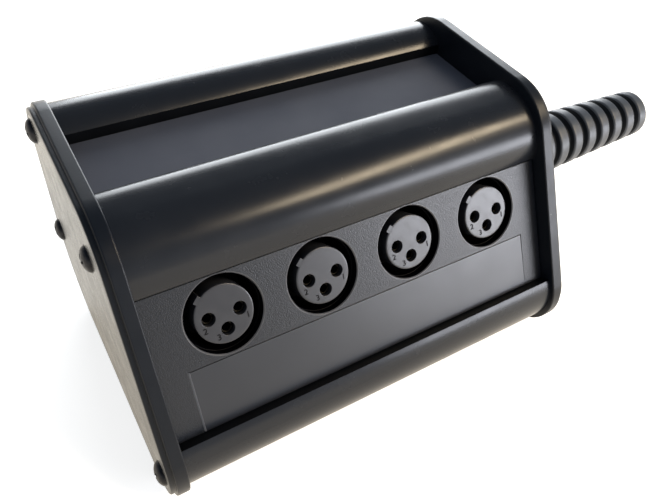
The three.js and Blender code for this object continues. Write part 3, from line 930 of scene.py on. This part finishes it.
def connector_panel_piece():
    low = connector_wall.lip(rails["front_bottom"], front_bottom_lip_rise, 1) + clearance - socket_line
    high = upper_lip - clearance - socket_line
    half = end_half - clearance
    label = end_half - label_end_margin
    label_top = -(mouth_radius + label_mouth_drop)
    shape = Shape()

    # Face with the label field's notch; each corner has the way out of the solid
    corners = [
        (half, high, 1, 1),
        (-half, high, -1, 1),
        (-half, low, -1, -1),
        (-label, low, 1, -1),
        (-label, label_top, 1, -1),
        (label, label_top, -1, -1),
        (label, low, -1, -1),
        (half, low, 1, -1),
    ]
    edge = soften([(label_round * 2, 0), (0, 0, label_round), (0, -label_depth)])
    face_loops = [[(x - a * inset, y - b * inset, z) for x, y, a, b in corners] for inset, z in edge]
    shape.strips(face_loops)
    shape.fill([framed(rectangle((-label, label), (low, label_top)), -label_depth)], 1)

    # Wall down to the tongues, the tongues, and the back
    across = (-half, half)
    rim = [(half, high), (-half, high), (-half, low), (-label, low), (label, low), (half, low)]
    shape.strips([framed(rim, z) for z in (-label_depth, -tongue_rebate)])
    tongue_low = low - tongue_length
    tongue_high = high + tongue_length
    shape.fill([framed([*rim[2:], (half, tongue_low), (-half, tongue_low)], -tongue_rebate)])
    shape.fill([framed(rectangle(across, (high, tongue_high)), -tongue_rebate)])
    for y in (tongue_low, tongue_high):
        shape.fill([[(x, y, z) for x, z in rectangle(across, (-panel_thickness, -tongue_rebate))]])
    for x in across:
        end = [(high, -tongue_rebate), (tongue_high, -tongue_rebate), (tongue_high, -panel_thickness)]
        end += [(tongue_low, -panel_thickness), (tongue_low, -tongue_rebate), (low, -tongue_rebate)]
        shape.fill([[(x, y, z) for y, z in end]])

    # Mouths and bosses
    mouth = soften([
        (mouth_radius + mouth_chamfer + 2 * mouth_round, 0),
        (mouth_radius + mouth_chamfer, 0, mouth_round),
        (mouth_radius, -mouth_chamfer, mouth_round),
        (mouth_radius, -panel_thickness),
    ], mouth_round_steps)
    fronts = [face_loops[0]]
    backs = [framed(rectangle(across, (tongue_low, tongue_high)), -panel_thickness)]
    for x in socket_xs:
        centre = Vector((x - middle_x, 0))
        rings = round_loops(mouth, mouth_steps, centre)
        # The chamfer ring takes the painted highlight, and the bore through the panel the shell's black
        shape.strips(rings[:-1], 2)
        shape.strips(rings[-2:], 3)
        fronts.append(rings[0])
        backs.append(rings[-1])
    pilot = board_screw_shank_radius + screw_clearance
    boss = [
        (boss_radius, -panel_thickness),
        (boss_radius, board_front + clearance),
        (pilot, board_front + clearance),
        (pilot, board_front + board_screw_length),
        (0, board_front + board_screw_length),
    ]
    pitch = socket_xs[1] - socket_xs[0]
    for x, y in [(a * pitch, b * boss_rise) for a in (-1, 1) for b in (-1, 1)]:
        rings = round_loops(boss, small_steps, Vector((x, y)))
        shape.strips(rings)
        backs.append(rings[0])
    shape.fill(fronts)
    shape.fill(backs)
    mesh = mesh_of("connector_panel_fine", shape, [leather, label_black, mouth_edge_painted_highlight, shell_black])
    stand_in("connector_panel", mesh, panel_frame)

    # Blank strip for writing on, laid in the label field
    wide = label - strip_gap
    strip = block((-wide, wide), (low, label_top - strip_gap), (-label_depth, strip_rise - label_depth))
    for point in strip.points:
        if point.x < 0 and point.z > -label_depth / 2:
            point.x += strip_slope

    def upper(edge):
        return all(point.co.z > -label_depth / 2 for point in edge.verts)

    mesh = mesh_of("label_strip", strip, [label_black, strip_edge_painted_highlight], upper, strip_round)
    # The strip's left flank takes the painted highlight
    for polygon in mesh.polygons:
        if polygon.normal.x < -strip_highlight_share and polygon.center.z > -label_depth * MM:
            polygon.material_index = 1
    show("label_strip", mesh, panel_frame)


# Sockets

contact_places = [
    Vector((contact_spacing / 2, 0)),
    Vector((-contact_spacing / 2, 0)),
    Vector((0, -lower_contact_drop)),
]
digit_places = [(5.85, -2.45), (-5.6, -2.75), (-2.65, -5.5)]


def shell_mesh():
    flange_back = shell_front - shell_flange_thickness
    floor_top = shell_back + shell_floor
    opening = insert_radius + clearance
    profile = soften([
        (opening, shell_back),
        (shell_radius, shell_back, shell_back_round),
        (shell_radius, flange_back),
        (flange_radius, flange_back, shell_flange_round),
        (flange_radius, shell_front),
        (socket_bore_radius, shell_front, shell_mouth_round),
        (socket_bore_radius, floor_top, shell_back_round),
        (opening, floor_top),
    ])
    shape = turned(profile, mouth_steps)
    for point in shape.points:
        point.y = max(-shell_radius, min(shell_radius, point.y))
    pivot_y = socket_bore_radius - latch_thickness / 2
    half_window = latch_width / 2 + latch_side_gap
    window = block(
        (-half_window, half_window),
        (pivot_y - latch_pivot_radius - clearance, flange_radius + clearance),
        (floor_top, clearance - latch_front_depth),
    )
    body = mesh_of("socket_shell_body", shape, [shell_black])
    return combine("socket_shell_fine", body, mesh_of("window", window, [shell_black]))


def insert_mesh():
    front = -insert_face_depth
    flange = insert_radius + insert_flange_reach
    rim = soften([
        (flange, insert_back),
        (flange, insert_back + insert_flange_thickness, insert_flange_round),
        (insert_radius, insert_back + insert_flange_thickness),
        (insert_radius, front, insert_round),
        (insert_radius - 2 * insert_round, front),
    ])
    shape = Shape()
    loops = round_loops(rim, mouth_steps)
    shape.strips(loops)
    backs = [loops[0]]
    fronts = [loops[-1]]
    seat_top = front - contact_mouth_depth
    hole = soften([
        (contact_mouth_radius + 2 * contact_mouth_round, front),
        (contact_mouth_radius, front, contact_mouth_round),
        (contact_mouth_radius, seat_top),
        (contact_radius + contact_clearance, seat_top),
        (contact_radius + contact_clearance, insert_back),
    ])
    for centre in contact_places:
        rings = round_loops(hole, hole_steps, centre)
        shape.strips(rings)
        fronts.append(rings[0])
        backs.append(rings[-1])
    shape.fill(fronts)
    shape.fill(backs)
    key = block(
        (insert_radius / 2, insert_radius + key_reach),
        (-key_width / 2, key_width / 2),
        (-key_face_depth - key_length, -key_face_depth),
    )
    for point in key.points:
        point.rotate(Matrix.Rotation(key_angle, 3, "Z"))
    body = mesh_of("socket_insert_body", shape, [insert_grey])
    tool = mesh_of("key", key, [insert_grey], lambda edge: True, key_round)
    return combine("socket_insert_fine", body, tool, "UNION")


def contact_mesh():
    front = -insert_face_depth - contact_mouth_depth - clearance
    profile = soften([
        (0, board_back - contact_tail_length),
        (contact_tail_radius, board_back - contact_tail_length, contact_round),
        (contact_tail_radius, insert_back),
        (contact_radius, insert_back, contact_round),
        (contact_radius, front, contact_round),
        (contact_bore_radius, front, contact_round),
        (contact_bore_radius, front - contact_bore_depth),
        (0, front - contact_bore_depth),
    ])
    reach = 2 * contact_radius
    slit = block((-reach, reach), (-contact_slit / 2, contact_slit / 2), (front - contact_slit_length, 0))
    body = mesh_of("contact_body", turned(profile, small_steps), [contact_metal])
    return combine("contact_fine", body, mesh_of("slit", slit, [contact_metal]))


def digit_piece(text, centre):
    """A raised digit as a mesh, on the insert's face."""
    curve = bpy.data.curves.new(f"digit_{text}", "FONT")
    curve.body = text
    curve.size = digit_height / digit_cap_share * MM
    curve.align_x = "CENTER"
    curve.align_y = "CENTER"
    curve.extrude = (digit_rise + digit_sink) / 2 * MM
    curve.resolution_u = digit_curve_steps
    mesh = final_mesh(add_object(f"digit_{text}", curve))
    height = -insert_face_depth + (digit_rise - digit_sink) / 2
    mesh.transform(Matrix.Translation(Vector((*centre, height)) * MM))
    return mesh


def digits_mesh():
    form = bmesh.new()
    for text, centre in zip("123", digit_places):
        form.from_mesh(digit_piece(text, centre))
    bmesh.ops.remove_doubles(form, verts=form.verts, dist=speck_reach * MM)
    bmesh.ops.recalc_face_normals(form, faces=form.faces)
    mesh = bpy.data.meshes.new("socket_digits")
    form.to_mesh(mesh)
    form.free()
    mesh.materials.clear()
    mesh.materials.append(digit_painted_shade)
    return mesh


def socket_pieces():
    shell = shell_mesh()
    insert = insert_mesh()
    contact = contact_mesh()
    digits = digits_mesh()
    for k, x in enumerate(socket_xs, 1):
        place = panel_place(x)
        stand_in(f"socket_shell_{k}", shell, place)
        stand_in(f"socket_insert_{k}", insert, place)
        show(f"socket_digits_{k}", digits, place)
        for pin, centre in enumerate(contact_places, 1):
            there = place @ Matrix.Translation((centre.x, centre.y, 0))
            stand_in(f"contact_{k}_{pin}", contact, there)


# Screws in the end plates


def screw_mesh():
    head = screw_head_radius
    height = screw_head_height
    shank = screw_shank_radius
    core = shank - screw_thread_depth
    pitch = screw_thread_pitch
    low = -screw_length
    profile = [(0, low), (core * screw_tip_share, low)]
    for turn in range(1, int(screw_length / pitch) - 1):
        z = low + turn * pitch
        profile += [(core, z), (shank, z + pitch / 2)]
    profile += [(core, -pitch), (core, 0)]
    profile += [(head * screw_edge_share, 0), (head, height * screw_edge_rise_share)]
    for step in range(dome_steps):
        angle = screw_dome_start + (pi / 2 - screw_dome_start) * step / dome_steps
        rise = 1 - screw_dome_share * (1 - sin(angle))
        profile.append((head * cos(angle), height * rise))
    profile.append((0, height))
    arm = head * screw_recess_share
    width = head * screw_recess_width_share
    depths = (height * screw_recess_floor_share, 2 * height)
    mesh = mesh_of("screw_body", turned(profile, 2 * small_steps), [screw_metal])
    for x, y in ((arm, width), (width, arm)):
        tool = mesh_of("recess", block((-x, x), (-y, y), depths), [screw_metal])
        mesh = combine("plate_screw_fine", mesh, tool)
    return mesh


def screw_pieces():
    mesh = screw_mesh()
    for side, way, face_x in (("left", -1, plate_low.x), ("right", 1, right_high.x)):
        for index, (name, rail) in enumerate(rails.items()):
            seat = face_x - way * screw_seat_depth
            spin = screw_first_turn + screw_next_turn * index
            turn = Matrix.Rotation(way * pi / 2, 4, "Y") @ Matrix.Rotation(spin, 4, "Z")
            place = Matrix.Translation((seat, rail.port.x, rail.port.y)) @ turn
            stand_in(f"screw_{side}_{name}", mesh, place)


# Cable outlet, along X from the right end plate's outer face

outlet_frame = Matrix.Translation((right_high.x, 0, box_height / 2)) @ Matrix.Rotation(pi / 2, 4, "Y")


def gland_piece():
    top = gland_hex_thickness
    nose = top + gland_nose_length
    flat = gland_thread_radius + gland_hex_wall
    steps = 2 * mouth_steps

    def hexagon(limit):
        points = []
        for k in range(steps):
            angle = 2 * pi * k / steps
            reach = flat / cos((angle % (pi / 3)) - pi / 6)
            points.append(polar(origin, min(reach, limit), angle))
        return points

    low = -plate_thickness - gland_inner_length
    barb = (top + nose) / 2
    bore = circle(gland_bore_radius, steps)
    thread = circle(gland_thread_radius, steps)
    body = hexagon(flat / cos(pi / 6) - gland_hex_round)
    sections = [
        (bore, low),
        (thread, low),
        (thread, 0),
        (body, 0),
        (body, top - gland_hex_round),
        (hexagon(flat), top),
        (thread, top),
        (thread, barb),
        (circle(gland_thread_radius + boot_barb_rise, steps), barb),
        (thread, nose),
        (bore, nose),
        (bore, low),
    ]
    shape = Shape()
    shape.strips([framed(ring, height) for ring, height in sections])
    mesh = mesh_of("gland_body_fine", shape, [gland_black])
    stand_in("gland_body", mesh, outlet_frame)


def boot_piece():
    start = gland_hex_thickness + clearance
    length = boot_base_length + (boot_groove_count - 1) * boot_pitch + boot_tip_length
    end = start + length
    bore = gland_thread_radius + boot_barb_rise + clearance
    base_radius = bore + boot_wall
    tip_radius = boot_cable_radius + boot_tip_wall
    bore_end = start + gland_nose_length + boot_seal_length + clearance

    def radius_at(z):
        return base_radius + (tip_radius - base_radius) * (z - start) / length

    corners = [(bore, start), (base_radius, start, boot_rib_round)]
    half = boot_groove_width / 2
    for k in range(boot_groove_count):
        middle = start + boot_base_length + k * boot_pitch
        floor = radius_at(middle) - boot_groove_depth
        corners += [
            (radius_at(middle - half), middle - half, boot_rib_round),
            (floor, middle - half / 2, boot_groove_round),
            (floor, middle + half / 2, boot_groove_round),
            (radius_at(middle + half), middle + half, boot_rib_round),
        ]
    corners += [
        (tip_radius, end, boot_tip_round),
        (boot_cable_radius, end, boot_bore_round),
        (boot_cable_radius, bore_end + bore - boot_cable_radius),
        (bore, bore_end),
    ]
    shape = turned(soften(corners, fine_round_steps), mouth_steps)
    # The deeper part of each groove takes the painted shade
    shaded_from = boot_shade_share * boot_groove_depth
    for k, (face, _) in enumerate(shape.faces):
        middle = sum((shape.points[point] for point in face), Vector()) / len(face)
        depth = radius_at(middle.z) - middle.xy.length
        if start < middle.z < end and shaded_from < depth < boot_groove_depth + clearance:
            shape.faces[k] = (face, 1)
    mesh = mesh_of("strain_relief_boot_fine", shape, [rubber, groove_painted_shade])
    stand_in("strain_relief_boot", mesh, outlet_frame)


# Model nodes that stay as they are, with a finish of their own


def dress(finish, names):
    for name in names:
        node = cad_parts[name]
        node.data.materials.clear()
        node.data.materials.append(finish)


def dress_nodes():
    dress(sheet_black, ["top_panel", "rear_panel", "base_panel"])
    dress(board_green, ["carrier_board"])
    dress(gland_black, ["gland_lock_nut"])
    dress(rubber, ["gland_seal"])
    dress(screw_metal, [f"board_screw_{k}" for k in range(1, 5)])
    dress(latch_metal, [f"latch_{k}" for k in range(1, 5)])


# Camera, floor and light


def add_camera():
    data = bpy.data.cameras.new("camera")
    data.sensor_width = 36
    data.lens = 36.14
    data.clip_start = 0.01
    camera = add_object("camera", data)
    camera.location = Vector((-116.0, -118.8, 173.6)) * MM
    camera.rotation_euler = [radians(angle) for angle in (43.889, -4.610, -30.454)]
    scene.camera = camera


def seen_rays(tree):
    """1 for rays from the camera, mirrors and glass, and 0 for others."""
    rays = add_node(tree, "ShaderNodeLightPath").outputs
    bent = maths(tree, "MAXIMUM", rays["Is Glossy Ray"], rays["Is Transmission Ray"])
    return maths(tree, "MAXIMUM", bent, rays["Is Camera Ray"])


def from_camera(tree):
    return add_node(tree, "ShaderNodeLightPath").outputs["Is Camera Ray"]


def split_light(tree, plain, seen, output):
    """One shader for the light that falls on things, and another for what is seen."""
    shaders = {0: seen_rays(tree), 1: plain.outputs[0], 2: seen.outputs[0]}
    mix = add_node(tree, "ShaderNodeMixShader", inputs=shaders)
    tree.links.new(mix.outputs[0], tree.nodes[output].inputs["Surface"])


def add_world():
    """White for the camera, a white horizon under a grey ceiling in mirrors, and plain soft light."""
    world = bpy.data.worlds.new("studio")
    scene.world = world
    world.use_nodes = True
    tree = world.node_tree
    plain = tree.nodes["Background"]
    set_values(plain, {"Color": (0.92, 0.96, 1, 1), "Strength": 0.42})
    place = add_node(tree, "ShaderNodeTexCoord").outputs["Generated"]
    height = add_node(tree, "ShaderNodeSeparateXYZ", inputs={0: place}).outputs["Z"]
    fade = add_node(tree, "ShaderNodeMapRange", {"From Min": -0.15, "From Max": 0.75}, {"Value": height})
    above = maths(tree, "SUBTRACT", fade.outputs["Result"], from_camera(tree))
    ceiling = mixed(tree, above, (1, 1, 1), (0.13, 0.17, 0.23))
    seen = add_node(tree, "ShaderNodeBackground", inputs={"Color": ceiling})
    split_light(tree, plain, seen, "World Output")


def add_floor():
    """A pale table that looks white, and warmer in mirrors."""
    reach = 1500
    shape = Shape()
    shape.fill([framed(rectangle((-reach, reach), (-reach, reach)), 0)])
    made = Finish("floor")
    set_values(made.shader, {"Roughness": 0.9})
    made.colour(mixed(made.tree, made.noise(40), (0.8, 0.79, 0.77), (0.82, 0.81, 0.79)))
    tint = mixed(made.tree, from_camera(made.tree), (1, 0.89, 0.72), (1, 1, 1))
    glow = add_node(made.tree, "ShaderNodeEmission", {"Strength": 0.7}, {"Color": tint})
    shaders = {0: made.shader.outputs[0], 1: glow.outputs[0]}
    seen = add_node(made.tree, "ShaderNodeAddShader", inputs=shaders)
    split_light(made.tree, made.shader, seen, "Material Output")
    add_object("floor", mesh_of("floor", shape, [made.material]))


def add_lamp(name, azimuth, elevation, distance, size, radiance, colour):
    """A soft box that faces the housing. Azimuth 0 looks from +X and 90 from +Y, in degrees."""
    data = bpy.data.lights.new(name, "AREA")
    data.shape = "RECTANGLE"
    data.size = size[0] * MM
    data.size_y = size[1] * MM
    data.energy = radiance * pi * data.size * data.size_y
    data.color = colour
    turn = Matrix.Rotation(radians(azimuth), 3, "Z") @ Matrix.Rotation(radians(-elevation), 3, "Y")
    away = turn @ Vector((distance, 0, 0))
    lamp = add_object(name, data)
    lamp.location = (Vector((middle_x, 0, box_height / 2)) + away) * MM
    lamp.rotation_euler = away.to_track_quat("Z", "Y").to_euler()


def add_lamps():
    add_lamp("rear_window", 62, 16.5, distance=900, size=(820, 550), radiance=8.5, colour=(0.92, 0.96, 1))
    add_lamp("warm_wall", -45, 41, distance=800, size=(430, 110), radiance=32, colour=(1, 0.82, 0.58))
    add_lamp("front_window", -45, 7, distance=800, size=(520, 170), radiance=16, colour=(0.9, 0.92, 1))


rail_pieces()
plate_pieces()
connector_panel_piece()
socket_pieces()
screw_pieces()
gland_piece()
boot_piece()
dress_nodes()
add_camera()
add_world()
add_floor()
add_lamps()
scene.view_settings.view_transform = "Standard"
